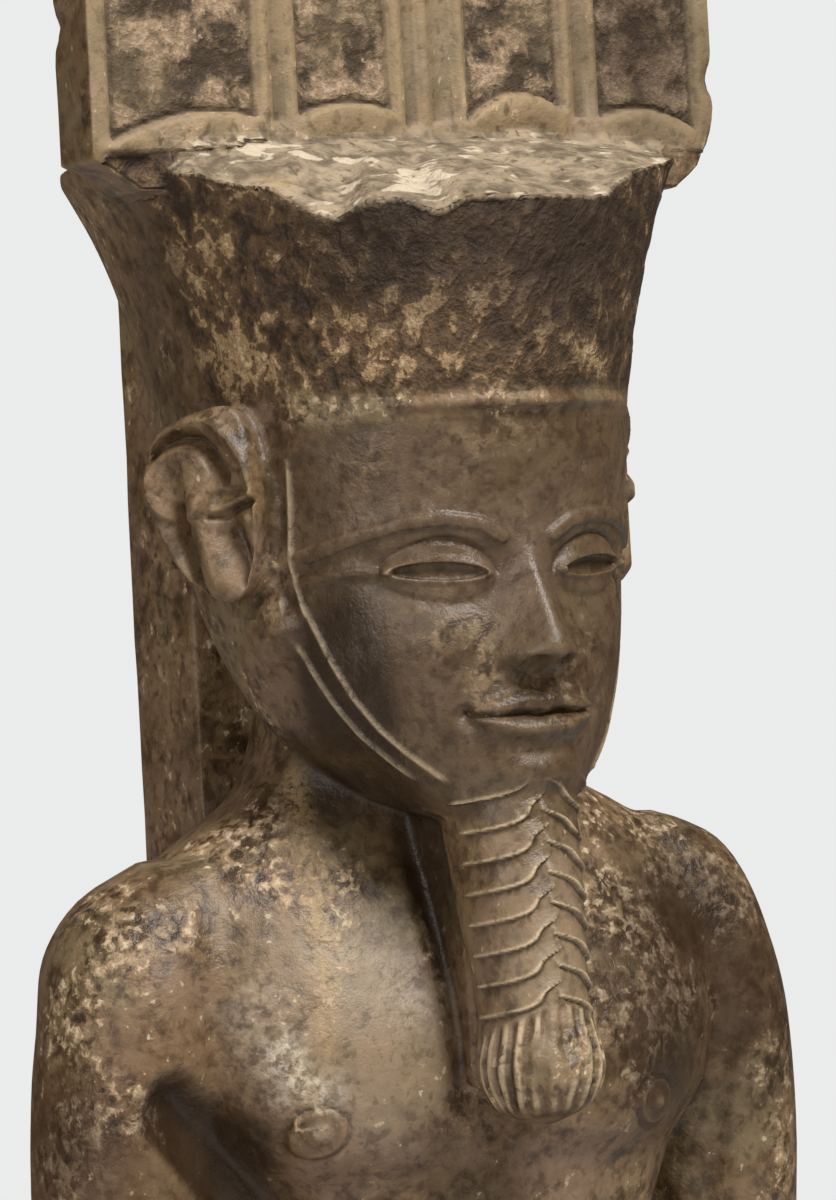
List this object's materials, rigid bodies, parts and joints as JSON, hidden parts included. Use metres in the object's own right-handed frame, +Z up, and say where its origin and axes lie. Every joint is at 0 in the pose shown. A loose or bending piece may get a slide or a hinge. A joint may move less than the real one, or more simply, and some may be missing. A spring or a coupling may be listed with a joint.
{
  "type": "standing god statue with double plume",
  "caption": "Standing figure in a flat-topped crown with two tall plumes and a plaited beard, one dark stone block with back pillar and low base, rests on its underside.",
  "frame": {"origin": "centre of the base's underside, on the floor", "axes": "+Z up, the figure faces -Y, its right hand is on the -X side"},
  "size_m": [0.24, 0.304, 1.2555],
  "materials": {
    "stone": "dark brown stone, half polished, with pale pitted patches"
  },
  "bodies": {
    "root": {"statue": "stone"}
  },
  "joints": []
}
